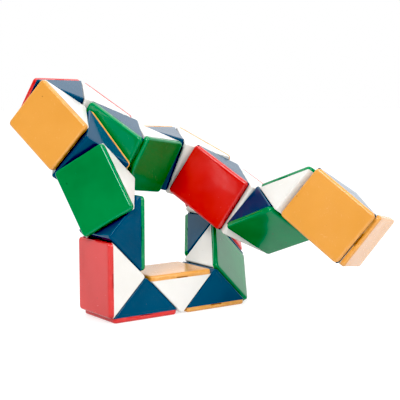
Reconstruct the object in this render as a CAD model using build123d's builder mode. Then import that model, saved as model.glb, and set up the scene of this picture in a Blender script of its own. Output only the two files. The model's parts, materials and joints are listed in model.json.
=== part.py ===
"""Twisty snake puzzle: a chain of hollow triangular wedges joined by sprung screw pivots.

Millimetres, +Z up.  The origin is the middle of the base wedge's cap face, which rests on the
ground.  Wedge 1 is one free end of the chain and wedge 24 is the other.
"""
import math
import os

from build123d import *

os.makedirs("parts", exist_ok=True)

# Wedge
LEG = 20.0  # leg of the right-angled triangle, and also the depth, before the gap is taken off
HYP = LEG * math.sqrt(2)
GAP = 0.2  # air between two neighbouring wedges
INSET = GAP / 2
DEPTH = LEG - GAP
WALL = 1.5
APEX_RADIUS = 0.9
END_RADIUS = 0.5
HALF = LEG / 2

# Coloured cap on the long face
CAP_THICK = 1.7
CAP_INSET = 0.15  # its outer face lies this far inside the true triangle
CAP_SEAT = CAP_THICK + CAP_INSET
CAP_LENGTH = HYP - 2 * (CAP_SEAT + INSET * math.sqrt(2))
CAP_CORNER = 1.4
CAP_EDGE = 0.8
RIB_LENGTH = 12.0
RIB_THICK = 1.0
RIB_HEIGHT = 2.4
RIB_GAP = 0.05
PRY_LENGTH = 4.6
PRY_HEIGHT = 0.35
PRY_DEPTH = 0.7

# Pivot at the middle of each leg face, measured from the joint plane
COLLAR_RADIUS = 2.2
BEARING_RADIUS = COLLAR_RADIUS + 0.05
COLLAR_REACH = INSET + WALL - 0.05
BOSS_RADIUS = 2.3
BOSS_DEPTH = 4.9
BORE_RADIUS = 1.05
BORE_DEPTH = 4.7

# Quarter-turn detents around each pivot
DETENT_COUNT = 4
DETENT_ANGLE = 45
DETENT_TAPER = 30
DETENT_CIRCLE = 6.2
DIMPLE_RADIUS = 0.8
DIMPLE_DEPTH = 0.3
BUMP_RADIUS = 0.6
BUMP_HEIGHT = 0.12

# Screw, spring and washer, measured from the joint plane into the blue wedge.  The spring is
# drawn as the sleeve that its coils fill.
SHANK_RADIUS = 1.0
SHANK_TIP = 4.6
WASHER_START = 1.65
WASHER_THICK = 0.4
WASHER_RADIUS = 3.1
SPRING_RADIUS = 1.8
SPRING_BORE = 1.3
SPRING_START = 2.1
SPRING_END = 4.1
HEAD_START = 4.15
HEAD_THICK = 1.0
HEAD_RADIUS = 2.0
RECESS_LENGTH = 2.4
RECESS_WIDTH = 0.5
RECESS_DEPTH = 0.5

# Twist at each pivot in degrees, first pivot between wedges 1 and 2.  0 is the straight chain
# and the pivots click at quarter turns, so most are a quarter turn give or take some slack.
COUNT = 24
BASE = 18
TWISTS = [
    177, 271, 3, 82, -1, -10, 186, -7, 173, -1, 178, 168,
    10, -15, 47, 0, 180, 0, 0, 91, 2, 9, 0,
]


def next_wedge(plane, twist):
    """The wedge that follows the one on this plane, turned by twist about their shared pivot."""
    outward = -plane.y_dir
    pivot = plane.origin + plane.x_dir * HALF
    along = (-plane.x_dir).rotate(Axis((0, 0, 0), outward), twist)
    return Plane(origin=pivot - along * HALF, x_dir=outward, z_dir=outward.cross(along))


def previous_wedge(plane, twist):
    """The wedge before the one on this plane, turned by twist about their shared pivot."""
    outward = plane.x_dir
    pivot = plane.origin + plane.y_dir * HALF
    along = -plane.y_dir.rotate(Axis((0, 0, 0), outward), -twist)
    return Plane(origin=pivot - along * HALF, x_dir=along, z_dir=along.cross(-outward))


def chain_planes():
    """One plane per wedge: x and y run along its two legs and z along its right-angled edge."""
    slope = math.sqrt(0.5)
    base = Plane(origin=(0, 0, HYP / 2 - CAP_INSET), x_dir=(slope, 0, -slope), z_dir=(0, 1, 0))
    planes = {BASE: base}
    for wedge in range(BASE, COUNT):
        planes[wedge + 1] = next_wedge(planes[wedge], TWISTS[wedge - 1])
    for wedge in range(BASE, 1, -1):
        planes[wedge - 1] = previous_wedge(planes[wedge], TWISTS[wedge - 2])
    return planes


# The two pivots of a wedge: z points out of the leg face, on the joint plane
FIRST_PIVOT = Plane(origin=(0, HALF, 0), x_dir=(0, 1, 0), z_dir=(-1, 0, 0))
SECOND_PIVOT = Plane(origin=(HALF, 0, 0), x_dir=(1, 0, 0), z_dir=(0, -1, 0))

# Where the cap sits on the body: z points out of the long face, x runs along it
SEAT = Plane(origin=(HALF, HALF, 0), x_dir=(1, -1, 0), z_dir=(1, 1, 0)).offset(-CAP_SEAT)


def hollow_body():
    """A triangular box, open under the cap, with rounded right-angled and end edges."""
    mouth = LEG - CAP_SEAT * math.sqrt(2)
    inside = INSET + WALL
    with BuildPart() as body:
        with BuildSketch(Plane.XY.offset(-DEPTH / 2)) as outline:
            with BuildLine():
                Polyline((INSET, INSET), (mouth - INSET, INSET), (INSET, mouth - INSET), close=True)
            make_face()
            fillet(outline.vertices().group_by(Axis.X)[0].sort_by(Axis.Y)[0], APEX_RADIUS)
        extrude(amount=DEPTH)
        ends = body.faces().sort_by(Axis.Z)
        rims = (ends[0].edges() + ends[-1].edges()).sort_by(Axis((0, 0, 0), (1, 1, 0)))
        open_rims = rims[-2:]
        fillet([rim for rim in rims if rim not in open_rims], END_RADIUS)
        with BuildSketch(Plane.XY.offset(WALL - DEPTH / 2)):
            with BuildLine():
                Polyline((inside, inside), (mouth - inside, inside), (inside, mouth - inside), close=True)
            make_face()
        extrude(amount=DEPTH - 2 * WALL, mode=Mode.SUBTRACT)
    return body.part


def white_body(pivots):
    """White wedge: each pivot has a threaded boss with a bearing collar and four detent bumps."""
    with BuildPart() as body:
        add(hollow_body())
        for pivot in pivots:
            with BuildSketch(pivot.offset(-BOSS_DEPTH)):
                Circle(BOSS_RADIUS)
            extrude(amount=BOSS_DEPTH - INSET - WALL / 2)
            with BuildSketch(pivot.offset(-INSET - WALL / 2)):
                Circle(COLLAR_RADIUS)
            extrude(amount=INSET + WALL / 2 + COLLAR_REACH)
            with BuildSketch(pivot.offset(-INSET)):
                with PolarLocations(DETENT_CIRCLE, DETENT_COUNT, start_angle=DETENT_ANGLE):
                    Circle(BUMP_RADIUS)
            extrude(amount=BUMP_HEIGHT, taper=DETENT_TAPER)
            with BuildSketch(pivot.offset(-BORE_DEPTH)):
                Circle(BORE_RADIUS)
            extrude(amount=BORE_DEPTH + COLLAR_REACH, mode=Mode.SUBTRACT)
    return body.part


def blue_body(pivots):
    """Blue wedge: each pivot has a bearing hole for the white collar and four detent dimples."""
    with BuildPart() as body:
        add(hollow_body())
        for pivot in pivots:
            with BuildSketch(pivot.offset(-INSET - WALL)):
                Circle(BEARING_RADIUS)
            extrude(amount=WALL + INSET, mode=Mode.SUBTRACT)
            with BuildSketch(pivot.offset(-INSET)):
                with PolarLocations(DETENT_CIRCLE, DETENT_COUNT, start_angle=DETENT_ANGLE):
                    Circle(DIMPLE_RADIUS)
            extrude(amount=-DIMPLE_DEPTH, taper=DETENT_TAPER, mode=Mode.SUBTRACT)
    return body.part


def cap_plate():
    """Snap-on cap: a rounded plate, two ribs that grip the end walls, and a pry slot per side."""
    rib_offset = DEPTH / 2 - WALL - RIB_GAP - RIB_THICK / 2
    with BuildPart() as cap:
        with BuildSketch(SEAT):
            RectangleRounded(CAP_LENGTH, DEPTH, CAP_CORNER)
        extrude(amount=CAP_THICK)
        top = cap.faces().sort_by(Axis((0, 0, 0), (1, 1, 0)))[-1]
        fillet(top.edges(), CAP_EDGE)
        with BuildSketch(SEAT):
            with Locations((0, rib_offset), (0, -rib_offset)):
                Rectangle(RIB_LENGTH, RIB_THICK)
        extrude(amount=-RIB_HEIGHT)
        with BuildSketch(SEAT):
            with Locations((0, DEPTH / 2), (0, -DEPTH / 2)):
                Rectangle(PRY_LENGTH, 2 * PRY_DEPTH)
            with Locations((CAP_LENGTH / 2, 0), (-CAP_LENGTH / 2, 0)):
                Rectangle(2 * PRY_DEPTH, PRY_LENGTH)
        extrude(amount=PRY_HEIGHT, mode=Mode.SUBTRACT)
    return cap.part


def pivot_hardware(pivots):
    """Steel screw, spring and washer of each pivot, as separate solids."""
    with BuildPart() as hardware:
        for pivot in pivots:
            with BuildSketch(pivot.offset(-SHANK_TIP)):
                Circle(SHANK_RADIUS)
            extrude(amount=SHANK_TIP + HEAD_START)
            with BuildSketch(pivot.offset(HEAD_START)):
                Circle(HEAD_RADIUS)
            extrude(amount=HEAD_THICK)
            with BuildSketch(pivot.offset(HEAD_START + HEAD_THICK)):
                Rectangle(RECESS_LENGTH, RECESS_WIDTH)
                Rectangle(RECESS_WIDTH, RECESS_LENGTH)
            extrude(amount=-RECESS_DEPTH, mode=Mode.SUBTRACT)
            with BuildSketch(pivot.offset(WASHER_START)):
                Circle(WASHER_RADIUS)
                Circle(BORE_RADIUS, mode=Mode.SUBTRACT)
            extrude(amount=WASHER_THICK)
            with BuildSketch(pivot.offset(SPRING_START)):
                Circle(SPRING_RADIUS)
                Circle(SPRING_BORE, mode=Mode.SUBTRACT)
            extrude(amount=SPRING_END - SPRING_START)
    return hardware.part


PLANES = chain_planes()
BOTH = [FIRST_PIVOT, SECOND_PIVOT]
WHITE_MIDDLE = white_body(BOTH)
WHITE_END = white_body([SECOND_PIVOT])
BLUE_MIDDLE = blue_body(BOTH)
BLUE_END = blue_body([FIRST_PIVOT])
CAP_PLATE = cap_plate()
HARDWARE_MIDDLE = pivot_hardware(BOTH)
HARDWARE_END = pivot_hardware([SECOND_PIVOT])


def place(shape, wedge, name):
    """Put a sub-part on its wedge's plane and write it."""
    with BuildPart() as node:
        add(shape.moved(PLANES[wedge].location))
    node.part.label = name
    export_step(node.part, f"parts/{name}.step")


for wedge in range(1, COUNT + 1):
    white = wedge % 2 == 1
    if white:
        body_shape = WHITE_END if wedge == 1 else WHITE_MIDDLE
        hardware_shape = HARDWARE_END if wedge == 1 else HARDWARE_MIDDLE
        place(hardware_shape, wedge, f"pivots_{wedge:02d}")
    else:
        body_shape = BLUE_END if wedge == COUNT else BLUE_MIDDLE
    place(body_shape, wedge, f"wedge_{wedge:02d}")
    place(CAP_PLATE, wedge, f"cap_{wedge:02d}")
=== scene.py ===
"""Twisty snake puzzle: white and blue hollow wedges, coloured snap-on caps and steel pivots.

Metres, +Z up.  The puzzle stands on the caps of wedges 18 and 20, and the origin is the middle of
wedge 18's cap face.  Wedges 1 and 24 are the free ends of the chain.
"""
import json
import math

import bmesh
import bpy
from mathutils import Matrix, Vector


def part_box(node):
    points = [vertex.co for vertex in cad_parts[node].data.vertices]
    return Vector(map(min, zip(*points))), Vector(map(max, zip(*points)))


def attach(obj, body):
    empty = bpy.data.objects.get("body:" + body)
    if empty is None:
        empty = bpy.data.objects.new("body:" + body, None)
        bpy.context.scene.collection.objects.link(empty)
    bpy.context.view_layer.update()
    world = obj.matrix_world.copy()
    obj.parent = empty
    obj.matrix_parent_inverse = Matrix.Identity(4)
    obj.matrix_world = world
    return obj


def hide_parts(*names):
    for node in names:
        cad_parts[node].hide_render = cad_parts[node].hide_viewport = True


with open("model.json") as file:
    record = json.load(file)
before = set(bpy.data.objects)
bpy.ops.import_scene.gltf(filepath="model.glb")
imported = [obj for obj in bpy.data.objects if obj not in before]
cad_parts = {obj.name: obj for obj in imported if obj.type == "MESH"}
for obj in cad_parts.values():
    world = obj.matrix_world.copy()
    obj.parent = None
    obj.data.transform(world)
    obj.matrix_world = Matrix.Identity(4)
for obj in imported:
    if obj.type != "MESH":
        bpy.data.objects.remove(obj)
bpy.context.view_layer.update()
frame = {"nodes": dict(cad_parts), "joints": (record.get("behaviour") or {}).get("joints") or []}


# ---- Camera -----------------------------------------------------------------------------------
# A long lens at the height of the top of the puzzle, a third of a metre away, which looks a
# little down at its front and left sides.
view = bpy.data.cameras.new("view")
view.sensor_width = 36
view.lens = 91.8
view.shift_x = 0.0257
view.shift_y = -0.0293
view.clip_start = 0.01
camera = bpy.data.objects.new("camera", view)
camera.location = (-0.1764, -0.2837, 0.0752)
camera.rotation_euler = [math.radians(turn) for turn in (84.304, 0.177, -35.290)]
bpy.context.scene.collection.objects.link(camera)
bpy.context.scene.camera = camera


# ---- White wedges -----------------------------------------------------------------------------
# Every other wedge is a thin-walled box in glossy white plastic, moulded in one piece with the
# threaded bosses and bearing collars of its pivots.  A polished mould leaves it nearly mirror smooth.
WEDGES = range(1, 25)


def shader_node(material, kind, **settings):
    """Add a node to a material and set its properties and, for names that it has, its sockets."""
    node = material.node_tree.nodes.new(kind)
    for name, value in settings.items():
        if hasattr(node, name):
            setattr(node, name, value)
        else:
            node.inputs[name.replace("_", " ")].default_value = value
    return node


def moulded_plastic(name, colour, deep, roughness, glow, shine):
    """Glossy moulded plastic: colour that drifts to a deeper one, smears, hairlines and ripple.

    glow is how much light the plastic lets in and scatters, and shine how strongly it reflects.
    """
    material = bpy.data.materials.new(name)
    material.use_nodes = True
    link = material.node_tree.links.new
    shader = material.node_tree.nodes["Principled BSDF"]
    shader.inputs["IOR"].default_value = 1.52
    shader.inputs["Specular IOR Level"].default_value = shine
    shader.inputs["Subsurface Weight"].default_value = glow
    shader.inputs["Subsurface Radius"].default_value = (0.0012, 0.0009, 0.0007)
    shader.inputs["Subsurface Scale"].default_value = 1.0
    place = shader_node(material, "ShaderNodeTexCoord").outputs["Object"]

    # pigment is never mixed perfectly evenly
    drift = shader_node(material, "ShaderNodeTexNoise", Scale=55.0, Detail=3.0, Roughness=0.55)
    link(place, drift.inputs["Vector"])
    tint = shader_node(material, "ShaderNodeValToRGB")
    tint.color_ramp.elements[0].position = 0.32
    tint.color_ramp.elements[0].color = (*deep, 1)
    tint.color_ramp.elements[1].position = 0.62
    tint.color_ramp.elements[1].color = (*colour, 1)
    link(drift.outputs["Fac"], tint.inputs["Fac"])

    # dirt stays in a few tiny pits, well apart
    pits = shader_node(material, "ShaderNodeTexVoronoi", Scale=170.0)
    link(place, pits.inputs["Vector"])
    close = shader_node(
        material, "ShaderNodeMapRange", From_Min=0.03, From_Max=0.06, To_Min=0.55, To_Max=0.0
    )
    link(pits.outputs["Distance"], close.inputs["Value"])
    dirty = shader_node(material, "ShaderNodeMix", data_type="RGBA")
    dirty.inputs[7].default_value = (0.05, 0.035, 0.025, 1)
    link(close.outputs["Result"], dirty.inputs[0])
    link(tint.outputs["Color"], dirty.inputs[6])
    link(dirty.outputs[2], shader.inputs["Base Color"])

    # handling leaves smears, and play leaves hairlines, that dull the polish
    smear = shader_node(
        material, "ShaderNodeTexNoise", Scale=150.0, Detail=5.0, Roughness=0.6, Distortion=0.8
    )
    link(place, smear.inputs["Vector"])
    dull = shader_node(
        material, "ShaderNodeMapRange",
        From_Min=0.35, From_Max=0.75, To_Min=roughness, To_Max=roughness + 0.13,
    )
    link(smear.outputs["Fac"], dull.inputs["Value"])
    stretch = shader_node(material, "ShaderNodeMapping", Rotation=(0.5, 0.3, 0.8), Scale=(6000, 260, 900))
    link(place, stretch.inputs["Vector"])
    hairline = shader_node(material, "ShaderNodeTexNoise", Scale=1.0, Detail=2.0, Roughness=0.5)
    link(stretch.outputs["Vector"], hairline.inputs["Vector"])
    scratch = shader_node(material, "ShaderNodeMapRange", From_Min=0.66, From_Max=0.74, To_Max=0.12)
    link(hairline.outputs["Fac"], scratch.inputs["Value"])
    total = shader_node(material, "ShaderNodeMath", operation="ADD", use_clamp=True)
    link(dull.outputs["Result"], total.inputs[0])
    link(scratch.outputs["Result"], total.inputs[1])
    link(total.outputs["Value"], shader.inputs["Roughness"])

    # the walls cool with a faint ripple, under an even finer orange peel
    ripple = shader_node(material, "ShaderNodeTexNoise", Scale=190.0, Detail=1.0, Roughness=0.4)
    link(place, ripple.inputs["Vector"])
    peel = shader_node(material, "ShaderNodeTexNoise", Scale=2200.0, Detail=2.0, Roughness=0.5)
    link(place, peel.inputs["Vector"])
    wavy = shader_node(material, "ShaderNodeBump", Strength=0.25, Distance=0.00012)
    link(ripple.outputs["Fac"], wavy.inputs["Height"])
    grained = shader_node(material, "ShaderNodeBump", Strength=0.12, Distance=0.00001)
    link(peel.outputs["Fac"], grained.inputs["Height"])
    link(wavy.outputs["Normal"], grained.inputs["Normal"])
    link(grained.outputs["Normal"], shader.inputs["Normal"])
    return material


def refinish(node_name, material):
    """Give a CAD node its finish."""
    for slot in frame["nodes"][node_name].material_slots:
        slot.material = material


white_plastic = moulded_plastic(
    "white_plastic", (0.63, 0.615, 0.59), (0.585, 0.57, 0.54), roughness=0.14, glow=0.10, shine=0.55
)
for wedge in WEDGES[::2]:
    refinish(f"wedge_{wedge:02d}", white_plastic)


# ---- Blue wedges ------------------------------------------------------------------------------
# The wedges between them are the same box in dark blue plastic, with a bearing hole in each pivot
# face instead of a boss.  The white collars turn in these holes.
blue_plastic = moulded_plastic(
    "blue_plastic", (0.001, 0.048, 0.106), (0.001, 0.039, 0.088), roughness=0.10, glow=0.0, shine=0.37
)
for wedge in WEDGES[1::2]:
    refinish(f"wedge_{wedge:02d}", blue_plastic)


# ---- Pivots -----------------------------------------------------------------------------------
# A zinc-plated pan-head screw, a coil spring and a washer inside the blue wedge pull each pair of
# wedges together.  The screw is driven into the boss of the white wedge, and all three turn with it.
SCREW_TIP = -0.0046
SHANK_CORE = 0.0008
SHANK_END = 0.0044
THREAD_START = SCREW_TIP + 0.0001
THREAD_END = 0.0010
THREAD_PITCH = 0.0007
THREAD_ROOT = 0.000776
THREAD_CREST = 0.0010
THREAD_FLANK = 0.32 * THREAD_PITCH
HEAD_START = 0.00415
HEAD_THICK = 0.0010
HEAD_RADIUS = 0.0020
CROWN_RADIUS = 0.0004
CROSS_REACH = 0.0012
CROSS_HALF = 0.00025
CROSS_DEPTH = 0.0005
WASHER_START = 0.00165
WASHER_THICK = 0.0004
WASHER_BORE = 0.00105
WASHER_RADIUS = 0.0031
SPRING_RADIUS = 0.00155
SPRING_START = 0.0021
SPRING_END = 0.0041
SPRING_TURNS = 3
WIRE_RADIUS = 0.00024
WIRE_SIDES = 10
STEPS_A_TURN = 24
SHARP_EDGE = math.radians(35)
ACROSS = Vector((1, 0, 0))
ALONG = Vector((0, 1, 0))
HAIR = 1e-6  # nearer than this counts as level with


def plated_steel(name):
    """Zinc-plated steel with a faint brushed grain and duller patches."""
    material = bpy.data.materials.new(name)
    material.use_nodes = True
    link = material.node_tree.links.new
    shader = material.node_tree.nodes["Principled BSDF"]
    shader.inputs["Metallic"].default_value = 1.0
    place = shader_node(material, "ShaderNodeTexCoord").outputs["Object"]
    patches = shader_node(material, "ShaderNodeTexNoise", Scale=700.0, Detail=3.0)
    link(place, patches.inputs["Vector"])
    tone = shader_node(material, "ShaderNodeValToRGB")
    tone.color_ramp.elements[0].color = (0.42, 0.43, 0.44, 1)
    tone.color_ramp.elements[1].color = (0.66, 0.66, 0.64, 1)
    link(patches.outputs["Fac"], tone.inputs["Fac"])
    link(tone.outputs["Color"], shader.inputs["Base Color"])
    dull = shader_node(material, "ShaderNodeMapRange", To_Min=0.22, To_Max=0.45)
    link(patches.outputs["Fac"], dull.inputs["Value"])
    link(dull.outputs["Result"], shader.inputs["Roughness"])
    grain = shader_node(material, "ShaderNodeTexNoise", Scale=6000.0, Detail=2.0)
    link(place, grain.inputs["Vector"])
    brushed = shader_node(material, "ShaderNodeBump", Strength=0.2, Distance=0.00001)
    link(grain.outputs["Fac"], brushed.inputs["Height"])
    link(brushed.outputs["Normal"], shader.inputs["Normal"])
    return material


def rod(bm, radius, low, high, segments):
    """A closed cylinder about z between two heights; returns its vertices."""
    made = bmesh.ops.create_cone(
        bm, cap_ends=True, segments=segments, radius1=radius, radius2=radius, depth=high - low,
        matrix=Matrix.Translation((0, 0, (low + high) / 2)),
    )
    return made["verts"]


def turned_coil(bm, outline, turns, rise):
    """Sweep a closed outline round z while it climbs; with no rise it closes into a ring."""
    verts = [bm.verts.new(point) for point in outline]
    edges = [bm.edges.new((verts[i - 1], verts[i])) for i in range(len(verts))]
    steps = turns * STEPS_A_TURN
    ring = rise == 0
    bmesh.ops.spin(
        bm, geom=verts + edges, cent=(0, 0, 0), axis=(0, 0, 1), dvec=(0, 0, rise / steps),
        angle=math.radians(360 * turns), steps=steps, use_merge=ring,
    )
    if not ring:
        bmesh.ops.holes_fill(bm, edges=[edge for edge in bm.edges if edge.is_boundary])


def score(bm, faces, place, normal):
    """Cut some faces along a plane and leave the rest of the mesh whole."""
    edges = dict.fromkeys(edge for face in faces for edge in face.edges)
    verts = dict.fromkeys(vert for face in faces for vert in face.verts)
    bmesh.ops.bisect_plane(bm, geom=faces + list(edges) + list(verts), plane_co=place, plane_no=normal)


def draw_down(bm, faces, depth):
    """Draw faces down by a depth, with walls round them and nothing left where they were."""
    drawn = bmesh.ops.extrude_face_region(bm, geom=faces)["geom"]
    moved = [item for item in drawn if isinstance(item, bmesh.types.BMVert)]
    bmesh.ops.translate(bm, vec=(0, 0, -depth), verts=moved)
    bmesh.ops.delete(bm, geom=[face for face in faces if face.is_valid], context="FACES")


def pan_head(bm):
    """The screw's head, with a rounded crown and a cross recess."""
    top = HEAD_START + HEAD_THICK
    head = rod(bm, HEAD_RADIUS, HEAD_START, top, segments=32)
    crown = [
        edge for edge in bm.edges
        if all(vert in head and vert.co.z > top - HAIR for vert in edge.verts)
    ]
    bmesh.ops.bevel(
        bm, geom=crown, offset=CROWN_RADIUS, offset_type="OFFSET", segments=4, profile=0.5,
        affect="EDGES", material=-1,
    )
    for axis in (ACROSS, ALONG):
        for reach in (-CROSS_REACH, -CROSS_HALF, CROSS_HALF, CROSS_REACH):
            flat = [face for face in bm.faces if face.calc_center_median().z > top - HAIR]
            score(bm, flat, axis * reach, axis)
    cross = []
    for face in bm.faces:
        centre = face.calc_center_median()
        narrow = min(abs(centre.x), abs(centre.y)) < CROSS_HALF
        near = max(abs(centre.x), abs(centre.y)) < CROSS_REACH
        if centre.z > top - HAIR and narrow and near:
            cross.append(face)
    draw_down(bm, cross, CROSS_DEPTH)


def pivot_set(bm):
    """Screw, washer and spring of one pivot, with the joint plane at z = 0 and the head up."""
    rod(bm, SHANK_CORE, SCREW_TIP, SHANK_END, segments=24)
    ridge = [
        (THREAD_ROOT, 0, THREAD_START),
        (THREAD_CREST, 0, THREAD_START + THREAD_FLANK),
        (THREAD_ROOT, 0, THREAD_START + 2 * THREAD_FLANK),
    ]
    thread_turns = int((THREAD_END - SCREW_TIP) / THREAD_PITCH)
    turned_coil(bm, ridge, thread_turns, thread_turns * THREAD_PITCH)
    pan_head(bm)
    washer = [
        (WASHER_BORE, 0, WASHER_START),
        (WASHER_RADIUS, 0, WASHER_START),
        (WASHER_RADIUS, 0, WASHER_START + WASHER_THICK),
        (WASHER_BORE, 0, WASHER_START + WASHER_THICK),
    ]
    turned_coil(bm, washer, 1, 0)
    wire = []
    for side in range(WIRE_SIDES):
        turn = math.tau * side / WIRE_SIDES
        reach = SPRING_RADIUS + WIRE_RADIUS * math.cos(turn)
        wire.append((reach, 0, SPRING_START + WIRE_RADIUS + WIRE_RADIUS * math.sin(turn)))
    turned_coil(bm, wire, SPRING_TURNS, SPRING_END - SPRING_START - 2 * WIRE_RADIUS)


steel = plated_steel("plated_steel")
pivot = bmesh.new()
pivot_set(pivot)
bmesh.ops.recalc_face_normals(pivot, faces=pivot.faces)
for face in pivot.faces:
    face.smooth = True
pivot.normal_update()
for edge in pivot.edges:
    edge.smooth = edge.calc_face_angle() < SHARP_EDGE
for wedge in WEDGES[::2]:
    bm = bmesh.new()
    for neighbour in (wedge - 1, wedge + 1):
        if neighbour not in WEDGES:
            continue
        pair = f"{min(wedge, neighbour):02d}_{max(wedge, neighbour):02d}"
        joint = next(item for item in frame["joints"] if item["name"].endswith(pair))
        pin = Vector(joint["pos_m"])
        low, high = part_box(f"wedge_{neighbour:02d}")
        inward = Vector(joint["axis"])
        if inward.dot((low + high) / 2 - pin) < 0:
            inward.negate()
        turn = inward.to_track_quat("Z", "Y").to_matrix().to_4x4()
        placed = pivot.copy()
        placed.transform(Matrix.Translation(pin) @ turn)
        single = bpy.data.meshes.new("one_pivot")
        placed.to_mesh(single)
        placed.free()
        bm.from_mesh(single)
        bpy.data.meshes.remove(single)
    mesh = bpy.data.meshes.new(f"pivot_set_{wedge:02d}")
    bm.to_mesh(mesh)
    bm.free()
    mesh.materials.append(steel)
    hardware = bpy.data.objects.new(f"pivot_set_{wedge:02d}", mesh)
    bpy.context.scene.collection.objects.link(hardware)
    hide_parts(f"pivots_{wedge:02d}")
    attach(hardware, f"link_{wedge:02d}")
pivot.free()


# ---- Caps -------------------------------------------------------------------------------------
# A coloured plate snaps into the open long side of each wedge and hides its pivots.  It has soft
# edges, a slight sink in its face, a pry slot in each side and two ribs that grip the end walls.
CAP_LENGTH = 0.0243
CAP_DEPTH = 0.0198
CAP_THICK = 0.0017
CORNER_RADIUS = 0.0014
RIM_RADIUS = 0.0008
SINK = 0.00006
SINK_GRID = 10
SLOT_LENGTH = 0.0046
SLOT_SILL = 0.00004
SLOT_TOP = 0.00042
SLOT_DEPTH = 0.0007
RIB_LENGTH = 0.012
RIB_THICK = 0.001
RIB_HEIGHT = 0.0024
RIB_OFFSET = 0.00785
RUB_WIDTH = 0.0009
SQUARE_ON = 0.999  # cosine above which a face looks straight along a direction
EDGE_ON = 0.001  # and below which it stands square to it


def cap_blank():
    """A plate with its seat at z = 0, round corners and a round rim, and its length along x."""
    bm = bmesh.new()
    bmesh.ops.create_cube(bm, size=1)
    bmesh.ops.scale(bm, vec=(CAP_LENGTH, CAP_DEPTH, CAP_THICK), verts=bm.verts)
    bmesh.ops.translate(bm, vec=(0, 0, CAP_THICK / 2), verts=bm.verts)
    corners = [edge for edge in bm.edges if abs(edge.verts[0].co.z - edge.verts[1].co.z) > CAP_THICK / 2]
    bmesh.ops.bevel(
        bm, geom=corners, offset=CORNER_RADIUS, offset_type="OFFSET", segments=8, profile=0.5,
        affect="EDGES", material=-1,
    )
    rim = [edge for edge in bm.edges if min(vert.co.z for vert in edge.verts) > CAP_THICK - HAIR]
    bmesh.ops.bevel(
        bm, geom=rim, offset=RIM_RADIUS, offset_type="OFFSET", segments=7, profile=0.5,
        affect="EDGES", material=-1,
    )
    return bm


def sink_face(bm):
    """The slight hollow that the coloured face gets as the plastic cools."""
    for axis, size in ((ACROSS, CAP_LENGTH), (ALONG, CAP_DEPTH)):
        for step in range(1 - SINK_GRID // 2, SINK_GRID // 2):
            face_up = [face for face in bm.faces if face.normal.z > SQUARE_ON]
            score(bm, face_up, axis * size * step / SINK_GRID, axis)
    for vert in bm.verts:
        if vert.co.z > CAP_THICK - HAIR:
            across = 1 - (2 * vert.co.x / (CAP_LENGTH - 2 * RIM_RADIUS)) ** 2
            along = 1 - (2 * vert.co.y / (CAP_DEPTH - 2 * RIM_RADIUS)) ** 2
            vert.co.z -= SINK * max(across, 0) * max(along, 0)


def press_slots(bm):
    """Pry slots, pressed in from the middle of each side just above the seat."""
    cuts = [((0, 0, SLOT_SILL), (0, 0, 1)), ((0, 0, SLOT_TOP), (0, 0, 1))]
    for side in (-1, 1):
        cuts.append((ACROSS * side * SLOT_LENGTH / 2, ACROSS))
        cuts.append((ALONG * side * SLOT_LENGTH / 2, ALONG))
    for place, normal in cuts:
        score(bm, [face for face in bm.faces if abs(face.normal.z) < EDGE_ON], place, normal)
    slots = []
    for face in bm.faces:
        centre = face.calc_center_median()
        in_band = SLOT_SILL < centre.z < SLOT_TOP and abs(face.normal.z) < EDGE_ON
        sideways = abs(face.normal.x) > SQUARE_ON and abs(centre.y) < SLOT_LENGTH / 2
        endways = abs(face.normal.y) > SQUARE_ON and abs(centre.x) < SLOT_LENGTH / 2
        if in_band and (sideways or endways):
            slots.append(face)
    for face in bmesh.ops.extrude_discrete_faces(bm, faces=slots)["faces"]:
        bmesh.ops.translate(bm, vec=face.normal * -SLOT_DEPTH, verts=face.verts)


def draw_ribs(bm):
    """Two ribs, drawn down from the seat."""
    cuts = []
    for side in (-1, 1):
        cuts.append((ACROSS * side * RIB_LENGTH / 2, ACROSS))
        for half in (-1, 1):
            cuts.append((ALONG * (side * RIB_OFFSET + half * RIB_THICK / 2), ALONG))
    for place, normal in cuts:
        seat = [
            face for face in bm.faces
            if face.normal.z < -SQUARE_ON and face.calc_center_median().z < HAIR
        ]
        score(bm, seat, place, normal)
    ribs = []
    for face in bm.faces:
        centre = face.calc_center_median()
        under = face.normal.z < -SQUARE_ON and centre.z < HAIR
        if under and abs(centre.x) < RIB_LENGTH / 2 and abs(abs(centre.y) - RIB_OFFSET) < RIB_THICK / 2:
            ribs.append(face)
    draw_down(bm, ribs, RIB_HEIGHT)


def cap_mesh():
    """One whole cap, with a flat map of its plate."""
    bm = cap_blank()
    sink_face(bm)
    press_slots(bm)
    draw_ribs(bm)
    bmesh.ops.recalc_face_normals(bm, faces=bm.faces)
    layer = bm.loops.layers.uv.new("plate")
    for face in bm.faces:
        face.smooth = True
        for loop in face.loops:
            loop[layer].uv = (loop.vert.co.x, loop.vert.co.y)
    mesh = bpy.data.meshes.new("cap")
    bm.to_mesh(mesh)
    bm.free()
    return mesh


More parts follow.
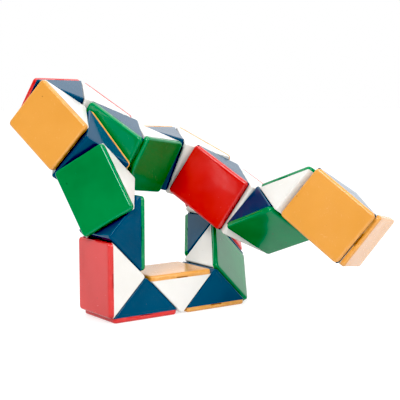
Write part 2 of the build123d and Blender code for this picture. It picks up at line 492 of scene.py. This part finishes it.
def rub_edges(material, pale):
    """Paler patches where hands rub the rim of a cap, placed by its own flat map."""
    link = material.node_tree.links.new
    shader = material.node_tree.nodes["Principled BSDF"]
    plate = shader_node(material, "ShaderNodeUVMap", uv_map="plate")
    parts = shader_node(material, "ShaderNodeSeparateXYZ")
    link(plate.outputs["UV"], parts.inputs["Vector"])
    margins = []
    for axis, size in (("X", CAP_LENGTH), ("Y", CAP_DEPTH)):
        reach = shader_node(material, "ShaderNodeMath", operation="ABSOLUTE")
        link(parts.outputs[axis], reach.inputs[0])
        margin = shader_node(material, "ShaderNodeMath", operation="SUBTRACT")
        margin.inputs[0].default_value = size / 2
        link(reach.outputs["Value"], margin.inputs[1])
        margins.append(margin)
    nearest = shader_node(material, "ShaderNodeMath", operation="MINIMUM")
    link(margins[0].outputs["Value"], nearest.inputs[0])
    link(margins[1].outputs["Value"], nearest.inputs[1])
    band = shader_node(
        material, "ShaderNodeMapRange", From_Min=0.0, From_Max=RUB_WIDTH, To_Min=1.0, To_Max=0.0
    )
    link(nearest.outputs["Value"], band.inputs["Value"])
    place = shader_node(material, "ShaderNodeTexCoord").outputs["Object"]
    patchy = shader_node(material, "ShaderNodeTexNoise", Scale=420.0, Detail=4.0, Roughness=0.65)
    link(place, patchy.inputs["Vector"])
    worn = shader_node(material, "ShaderNodeMapRange", From_Min=0.5, From_Max=0.72, To_Max=0.5)
    link(patchy.outputs["Fac"], worn.inputs["Value"])
    amount = shader_node(material, "ShaderNodeMath", operation="MULTIPLY")
    link(band.outputs["Result"], amount.inputs[0])
    link(worn.outputs["Result"], amount.inputs[1])
    before = shader.inputs["Base Color"].links[0].from_socket
    rubbed = shader_node(material, "ShaderNodeMix", data_type="RGBA")
    link(amount.outputs["Value"], rubbed.inputs[0])
    link(before, rubbed.inputs[6])
    rubbed.inputs[7].default_value = (*pale, 1)
    link(rubbed.outputs[2], shader.inputs["Base Color"])
    return material


def cap_place(wedge):
    """Where a cap sits: z out of the wedge's long side, x along it, from the plain CAD cap."""
    mesh = frame["nodes"][f"cap_{wedge:02d}"].data
    low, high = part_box(f"wedge_{wedge:02d}")
    wedge_middle = (low + high) / 2
    widest = max(mesh.polygons, key=lambda face: face.area)
    outward = widest.normal.copy()
    if outward.dot(widest.center - wedge_middle) < 0:
        outward.negate()
    reach = max(vert.co.dot(outward) for vert in mesh.vertices)
    outer = [
        face for face in mesh.polygons
        if face.normal.dot(outward) > SQUARE_ON and face.center.dot(outward) > reach - 10 * HAIR
    ]
    area = sum(face.area for face in outer)
    middle = sum((face.center * face.area for face in outer), Vector()) / area
    joint = next(item for item in frame["joints"] if f"{wedge:02d}" in item["name"].split("_"))
    leg = Vector(joint["axis"])
    if leg.dot(outward) < 0:
        leg.negate()
    along = (outward - math.sqrt(2) * leg).normalized()
    turn = Matrix((along, outward.cross(along), outward)).transposed().to_4x4()
    return Matrix.Translation(middle - outward * CAP_THICK) @ turn


yellow_plastic = rub_edges(
    moulded_plastic(
        "yellow_plastic", (0.585, 0.275, 0.066), (0.555, 0.255, 0.058),
        roughness=0.15, glow=0.06, shine=0.48,
    ),
    pale=(0.80, 0.42, 0.14),
)
green_plastic = rub_edges(
    moulded_plastic(
        "green_plastic", (0.000, 0.190, 0.056), (0.000, 0.155, 0.046),
        roughness=0.10, glow=0.0, shine=0.46,
    ),
    pale=(0.04, 0.27, 0.10),
)
red_plastic = rub_edges(
    moulded_plastic(
        "red_plastic", (0.525, 0.036, 0.032), (0.455, 0.029, 0.025),
        roughness=0.10, glow=0.02, shine=0.46,
    ),
    pale=(0.62, 0.08, 0.07),
)
CAP_ORDER = (
    ("yellow_plastic", yellow_plastic),
    ("green_plastic", green_plastic),
    ("red_plastic", red_plastic),
)
for wedge in WEDGES:
    slot_name, colour = CAP_ORDER[(wedge - 1) // 2 % 3]
    plate = cap_mesh()
    plate.transform(cap_place(wedge))
    plate.materials.append(colour)
    cap = bpy.data.objects.new(f"cap_plate_{wedge:02d}", plate)
    bpy.context.scene.collection.objects.link(cap)
    even_shading = cap.modifiers.new("even_shading", "WEIGHTED_NORMAL")
    even_shading.weight = 80
    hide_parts(f"cap_{wedge:02d}")
    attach(cap, f"link_{wedge:02d}")


# ---- Table and light --------------------------------------------------------------------------
# A plain pale table top in a white studio that is brightest at the back and overhead, with a soft
# box at the left, a weaker one at the right and a weak one overhead.
TABLE_RADIUS = 3.0
table = bpy.data.meshes.new("table")
bm = bmesh.new()
bmesh.ops.create_circle(bm, cap_ends=True, segments=96, radius=TABLE_RADIUS)
bm.to_mesh(table)
bm.free()
table_top = bpy.data.objects.new("table_top", table)
bpy.context.scene.collection.objects.link(table_top)
laminate = bpy.data.materials.new("pale_laminate")
laminate.use_nodes = True
board = laminate.node_tree.nodes["Principled BSDF"]
board.inputs["Roughness"].default_value = 0.55
board.inputs["Emission Color"].default_value = (1.0, 1.0, 1.0, 1)
board.inputs["Emission Strength"].default_value = 0.62
cloudy = shader_node(laminate, "ShaderNodeTexNoise", Scale=8.0, Detail=3.0)
laminate.node_tree.links.new(
    shader_node(laminate, "ShaderNodeTexCoord").outputs["Object"], cloudy.inputs["Vector"]
)
pale = shader_node(laminate, "ShaderNodeValToRGB")
pale.color_ramp.elements[0].color = (0.34, 0.34, 0.34, 1)
pale.color_ramp.elements[1].color = (0.38, 0.38, 0.38, 1)
laminate.node_tree.links.new(cloudy.outputs["Fac"], pale.inputs["Fac"])
laminate.node_tree.links.new(pale.outputs["Color"], board.inputs["Base Color"])
table.materials.append(laminate)


def sky_node(kind, operation=None, **sockets):
    """Add a node to the sky, with the values of the sockets that it names."""
    node = sky.node_tree.nodes.new(kind)
    if operation:
        node.operation = operation
    for name, value in sockets.items():
        node.inputs[name.replace("_", " ")].default_value = value
    return node


sky = bpy.data.worlds.new("studio_sky")
sky.use_nodes = True
sky_link = sky.node_tree.links.new
heading = sky_node("ShaderNodeTexCoord").outputs["Generated"]
backward = sky_node("ShaderNodeVectorMath", "DOT_PRODUCT")
backward.inputs[1].default_value = (0.53, 0.85, 0.0)
sky_link(heading, backward.inputs[0])
backdrop_glow = sky_node("ShaderNodeMapRange", From_Min=-0.1, From_Max=0.55, To_Min=0.10, To_Max=1.35)
sky_link(backward.outputs["Value"], backdrop_glow.inputs["Value"])
height = sky_node("ShaderNodeSeparateXYZ")
sky_link(heading, height.inputs["Vector"])
ceiling_glow = sky_node("ShaderNodeMapRange", From_Min=0.3, From_Max=0.95, To_Min=0.0, To_Max=0.9)
sky_link(height.outputs["Z"], ceiling_glow.inputs["Value"])
glow = sky_node("ShaderNodeMath", "MAXIMUM")
sky_link(backdrop_glow.outputs["Result"], glow.inputs[0])
sky_link(ceiling_glow.outputs["Result"], glow.inputs[1])
room = sky.node_tree.nodes["Background"]
room.inputs["Color"].default_value = (1.0, 1.0, 1.0, 1)
sky_link(glow.outputs["Value"], room.inputs["Strength"])
backdrop = sky_node("ShaderNodeBackground", Color=(1.0, 1.0, 1.0, 1), Strength=1.0)
seen = sky_node("ShaderNodeLightPath")
either = sky_node("ShaderNodeMixShader")
sky_link(seen.outputs["Is Camera Ray"], either.inputs["Fac"])
sky_link(room.outputs["Background"], either.inputs[1])
sky_link(backdrop.outputs["Background"], either.inputs[2])
sky_link(either.outputs["Shader"], sky.node_tree.nodes["World Output"].inputs["Surface"])
bpy.context.scene.world = sky


def soft_box(name, place, width, power):
    """A square soft box at a place, turned to face the middle of the puzzle."""
    lamp = bpy.data.lights.new(name, "AREA")
    lamp.shape = "SQUARE"
    lamp.size = width
    lamp.energy = power
    box = bpy.data.objects.new(name, lamp)
    box.location = place
    box.rotation_euler = (MIDDLE - box.location).to_track_quat("-Z", "Y").to_euler()
    bpy.context.scene.collection.objects.link(box)


MIDDLE = Vector((0.02, 0.0, 0.04))
soft_box("key_box", (-0.52, -0.36, 0.55), width=0.42, power=6.4)
soft_box("fill_box", (0.28, -0.62, 0.42), width=0.45, power=3.6)
soft_box("top_box", (0.05, 0.15, 0.60), width=0.40, power=1.2)

# a raised black level, so that the gloss of so bright a room doesn't grey the dark plastics
picture = bpy.context.scene.view_settings
picture.view_transform = "Standard"
picture.use_curve_mapping = True
picture.curve_mapping.black_level = (0.050, 0.044, 0.040)
picture.curve_mapping.update()
